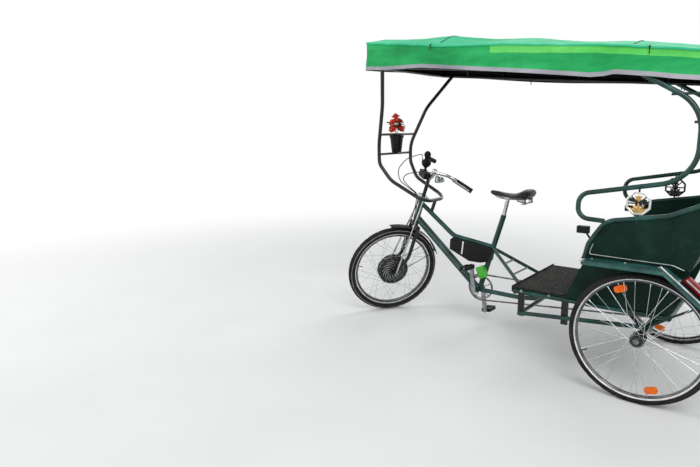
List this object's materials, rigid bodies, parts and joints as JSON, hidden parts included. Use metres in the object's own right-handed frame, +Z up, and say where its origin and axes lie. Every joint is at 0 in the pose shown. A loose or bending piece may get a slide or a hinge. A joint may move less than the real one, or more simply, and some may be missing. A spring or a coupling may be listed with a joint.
{
  "type": "cycle rickshaw",
  "caption": "Three-wheeled pedal rickshaw with a steered front wheel, a rider's saddle, a two-seat rear tub and a cloth roof.",
  "frame": {"origin": "on the ground under the middle of the vehicle's length, on its centre line", "axes": "+X forwards, +Y to the vehicle's left, +Z up"},
  "size_m": [2.4857, 1.124, 1.9383],
  "materials": {
    "frame_paint": "gloss dark green",
    "panel_paint": "satin dark green",
    "tyre": "rubber",
    "alloy": "polished",
    "chrome": "polished",
    "black_metal": "satin black",
    "black_plastic": "moulded",
    "vinyl": "teal vinyl",
    "canopy_cloth": "coated green cloth",
    "mat": "granular mat",
    "lamp_red": "red lens",
    "lamp_dark": "dark lens",
    "bloom": "artificial petals",
    "steel": "oiled",
    "lime": "moulded"
  },
  "bodies": {
    "chassis": {"armrest_curve_left": "frame_paint", "armrest_curve_right": "frame_paint", "axle_drive": "black_metal", "back_pad": "vinyl", "battery_case": "black_plastic", "chain": "steel", "cross_bars": "black_metal", "edge_tube_left": "frame_paint", "edge_tube_right": "frame_paint", "fender_struts": "frame_paint", "fenders": "frame_paint", "floor_mat": "mat", "floor_plate": "frame_paint", "floor_rails": "frame_paint", "flower_pot": "black_plastic", "flowers": "bloom", "front_lamps": "lamp_dark", "front_pillars": "frame_paint", "hangers": "black_metal", "lock_body": "lime", "lower_chassis": "frame_paint", "main_frame": "frame_paint", "rear_lamps": "lamp_red", "roof_bows": "black_metal", "roof_cover": "canopy_cloth", "roof_rails": "black_metal", "saddle": "black_plastic", "seat_cushion": "vinyl", "seat_deck": "panel_paint", "seat_post": "alloy", "seat_stays": "frame_paint", "side_emblems": "alloy", "trim_beads": "alloy", "tub_back": "panel_paint", "tub_lower_sides": "panel_paint", "tub_riser": "panel_paint", "tub_upper_sides": "panel_paint"},
    "fork": {"fork": "black_metal", "truss_rods": "chrome", "front_mudguard": "black_plastic", "handlebar": "chrome", "grips": "black_plastic", "brake_levers": "alloy", "control_box": "black_plastic", "bell": "chrome", "headlamp": "chrome", "horn": "black_plastic", "cables": "black_plastic"},
    "front_wheel": {"front_tyre": "tyre", "front_rim": "alloy", "front_hub_motor": "black_metal"},
    "rear_wheel_left": {"rear_tyre_left": "tyre", "rear_rim_left": "alloy", "rear_hub_left": "alloy"},
    "rear_wheel_right": {"rear_tyre_right": "tyre", "rear_rim_right": "alloy", "rear_hub_right": "alloy"},
    "crank": {"crank": "alloy"},
    "pedal_left": {"pedal_left": "black_plastic"},
    "pedal_right": {"pedal_right": "black_plastic"}
  },
  "joints": [
    {"name": "steering", "type": "hinge", "parent": "chassis", "child": "fork", "pos_m": [0.9817, 0, 0.31396], "axis": [-0.309, 0, 0.9511], "range_deg": [-115, 5]},
    {"name": "front_wheel_spin", "type": "hinge", "parent": "fork", "child": "front_wheel", "pos_m": [1.02152, 0.0598, 0.3269], "axis": [-0.7791, 0.5736, -0.2531], "continuous": true},
    {"name": "rear_wheel_left_spin", "type": "hinge", "parent": "chassis", "child": "rear_wheel_left", "pos_m": [-0.74287, 0.5, 0.33], "axis": [0, 1, 0], "continuous": true},
    {"name": "rear_wheel_right_spin", "type": "hinge", "parent": "chassis", "child": "rear_wheel_right", "pos_m": [-0.74287, -0.5, 0.33], "axis": [0, 1, 0], "continuous": true},
    {"name": "crank_spin", "type": "hinge", "parent": "chassis", "child": "crank", "pos_m": [0.35413, 0, 0.278], "axis": [0, 1, 0], "continuous": true},
    {"name": "pedal_left_spin", "type": "hinge", "parent": "crank", "child": "pedal_left", "pos_m": [0.37778, 0.1225, 0.44635], "axis": [0, 1, 0], "continuous": true},
    {"name": "pedal_right_spin", "type": "hinge", "parent": "crank", "child": "pedal_right", "pos_m": [0.33047, -0.1225, 0.10965], "axis": [0, 1, 0], "continuous": true}
  ]
}
